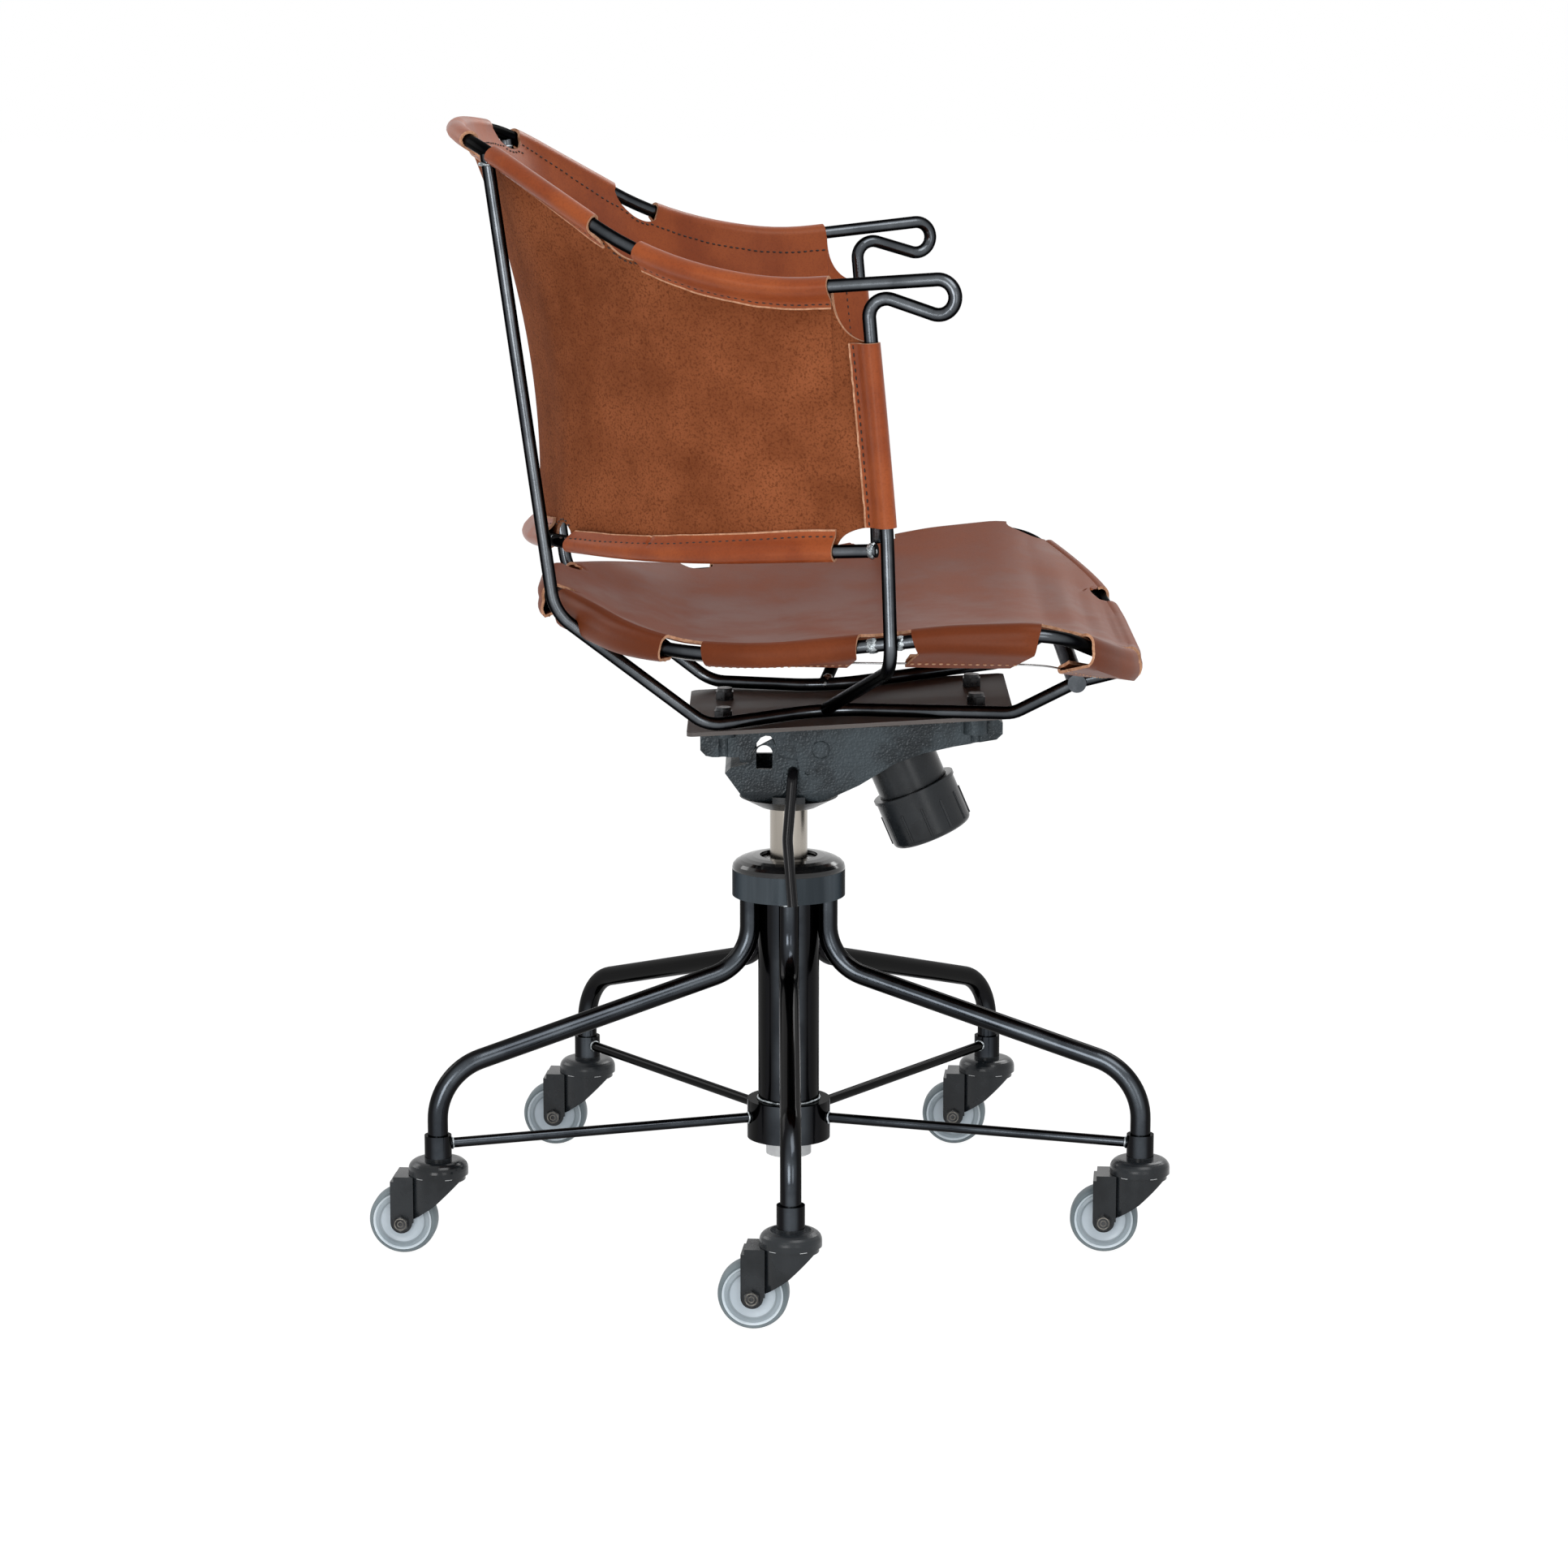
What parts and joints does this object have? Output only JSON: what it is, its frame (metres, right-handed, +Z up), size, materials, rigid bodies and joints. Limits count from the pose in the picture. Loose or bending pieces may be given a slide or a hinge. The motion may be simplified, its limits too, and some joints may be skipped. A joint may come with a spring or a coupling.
{
  "type": "office chair",
  "caption": "Low-back office chair with a leather sling seat and arm shell on a bent rod frame, tilt mechanism, gas lift and bent-tube base on casters.",
  "frame": {"origin": "on the floor, on the axis of the gas lift", "axes": "+Z up along the lift, -Y towards the front of the seat, +X across the seat"},
  "size_m": [0.5738, 0.5904, 0.8267],
  "materials": {
    "black_tube": "gloss black with a blue sheen",
    "collar_steel": "satin dark blue-grey",
    "gloss_cap": "glossy black",
    "pale_plastic": "light grey",
    "bright_steel": "bright",
    "nickel_tube": "warm nickel, satin",
    "frame_rod": "semi-gloss gunmetal",
    "lever_rod": "gloss black",
    "casting": "textured dark blue-grey",
    "black_plastic": "satin black",
    "dark_steel": "blackened steel",
    "hub_plastic": "pale blue-grey",
    "grey_tread": "grey, matte",
    "plate_paint": "warm dark brown-grey, satin",
    "hem_steel": "bare wire",
    "back_hide": "cognac leather, waxed face and suede back",
    "seat_hide": "cognac leather, smooth"
  },
  "bodies": {
    "base": {"column_tube": "black_tube", "top_collar": "collar_steel", "collar_cap": "gloss_cap", "bottom_ring": "black_tube", "column_plug": "pale_plastic", "leg_1": "black_tube", "leg_2": "black_tube", "leg_3": "black_tube", "leg_4": "black_tube", "leg_5": "black_tube", "leg_struts": "black_tube", "leg_sleeves": "black_tube", "gas_cylinder": "bright_steel", "caster_stem_1": "black_plastic", "caster_stem_2": "black_plastic", "caster_stem_3": "black_plastic", "caster_stem_4": "black_plastic", "caster_stem_5": "black_plastic"},
    "spindle": {"gas_rod": "bright_steel"},
    "lift": {"gas_tube": "nickel_tube", "tilt_housing": "casting", "housing_cap": "black_plastic", "lever_bush": "casting", "pivot_pin": "casting", "tilt_spring": "bright_steel", "spring_cup": "black_plastic"},
    "lever": {"lift_lever": "lever_rod"},
    "knob": {"tension_knob": "black_plastic"},
    "seat": {"tilt_bracket": "casting", "seat_plate": "plate_paint", "plate_bolts": "dark_steel", "side_rail_left": "frame_rod", "side_rail_right": "frame_rod", "arm_and_back_rod": "frame_rod", "lower_back_rod": "frame_rod", "seat_ring": "frame_rod", "front_cross_bar": "frame_rod", "hem_wire": "hem_steel", "back_leather": "back_hide", "seat_leather": "seat_hide"},
    "fork_1": {"caster_fork_1": "black_plastic", "wheel_axle_1": "dark_steel"},
    "wheel_1": {"wheel_hub_1": "hub_plastic", "wheel_tyre_1": "grey_tread"},
    "fork_2": {"caster_fork_2": "black_plastic", "wheel_axle_2": "dark_steel"},
    "wheel_2": {"wheel_hub_2": "hub_plastic", "wheel_tyre_2": "grey_tread"},
    "fork_3": {"caster_fork_3": "black_plastic", "wheel_axle_3": "dark_steel"},
    "wheel_3": {"wheel_hub_3": "hub_plastic", "wheel_tyre_3": "grey_tread"},
    "fork_4": {"caster_fork_4": "black_plastic", "wheel_axle_4": "dark_steel"},
    "wheel_4": {"wheel_hub_4": "hub_plastic", "wheel_tyre_4": "grey_tread"},
    "fork_5": {"caster_fork_5": "black_plastic", "wheel_axle_5": "dark_steel"},
    "wheel_5": {"wheel_hub_5": "hub_plastic", "wheel_tyre_5": "grey_tread"}
  },
  "joints": [
    {"name": "caster_1_swivel", "type": "hinge", "parent": "base", "child": "fork_1", "pos_m": [-0.2718, -0.00119, 0.06], "axis": [0, 0, 1], "continuous": true},
    {"name": "wheel_1_spin", "type": "hinge", "parent": "fork_1", "child": "wheel_1", "pos_m": [-0.26953, 0.02472, 0.025], "axis": [0.9962, -0.0872, 0], "continuous": true},
    {"name": "caster_2_swivel", "type": "hinge", "parent": "base", "child": "fork_2", "pos_m": [-0.08286, -0.25886, 0.06], "axis": [0, 0, 1], "continuous": true},
    {"name": "wheel_2_spin", "type": "hinge", "parent": "fork_2", "child": "wheel_2", "pos_m": [-0.0806, -0.23296, 0.025], "axis": [0.9962, -0.0872, 0], "continuous": true},
    {"name": "caster_3_swivel", "type": "hinge", "parent": "base", "child": "fork_3", "pos_m": [0.22059, -0.1588, 0.06], "axis": [0, 0, 1], "continuous": true},
    {"name": "wheel_3_spin", "type": "hinge", "parent": "fork_3", "child": "wheel_3", "pos_m": [0.22285, -0.1329, 0.025], "axis": [0.9962, -0.0872, 0], "continuous": true},
    {"name": "caster_4_swivel", "type": "hinge", "parent": "base", "child": "fork_4", "pos_m": [0.21919, 0.16072, 0.06], "axis": [0, 0, 1], "continuous": true},
    {"name": "wheel_4_spin", "type": "hinge", "parent": "fork_4", "child": "wheel_4", "pos_m": [0.22146, 0.18662, 0.025], "axis": [0.9962, -0.0872, 0], "continuous": true},
    {"name": "caster_5_swivel", "type": "hinge", "parent": "base", "child": "fork_5", "pos_m": [-0.08512, 0.25813, 0.06], "axis": [0, 0, 1], "continuous": true},
    {"name": "wheel_5_spin", "type": "hinge", "parent": "fork_5", "child": "wheel_5", "pos_m": [-0.08285, 0.28403, 0.025], "axis": [0.9962, -0.0872, 0], "continuous": true},
    {"name": "lift_turn", "type": "hinge", "parent": "base", "child": "spindle", "pos_m": [0, 0, 0.08], "axis": [0, 0, 1], "continuous": true},
    {"name": "lift_slide", "type": "slide", "parent": "spindle", "child": "lift", "axis": [0, 0, 1], "range_m": [-0.03, 0.07]},
    {"name": "tilt", "type": "hinge", "parent": "lift", "child": "seat", "pos_m": [0, -0.0235, 0.368], "axis": [-1, 0, 0], "range_deg": [0, 10], "stiffness_Nm_per_rad": 80, "springref_deg": -17.19},
    {"name": "lever_swing", "type": "hinge", "parent": "lift", "child": "lever", "pos_m": [-0.034, -0.003, 0.351], "axis": [1, 0, 0], "range_deg": [0, 15], "stiffness_Nm_per_rad": 0.6, "springref_deg": -5.73},
    {"name": "knob_turn", "type": "hinge", "parent": "lift", "child": "knob", "pos_m": [0, -0.085, 0.352], "axis": [0, -0.3923, -0.9198], "continuous": true}
  ]
}
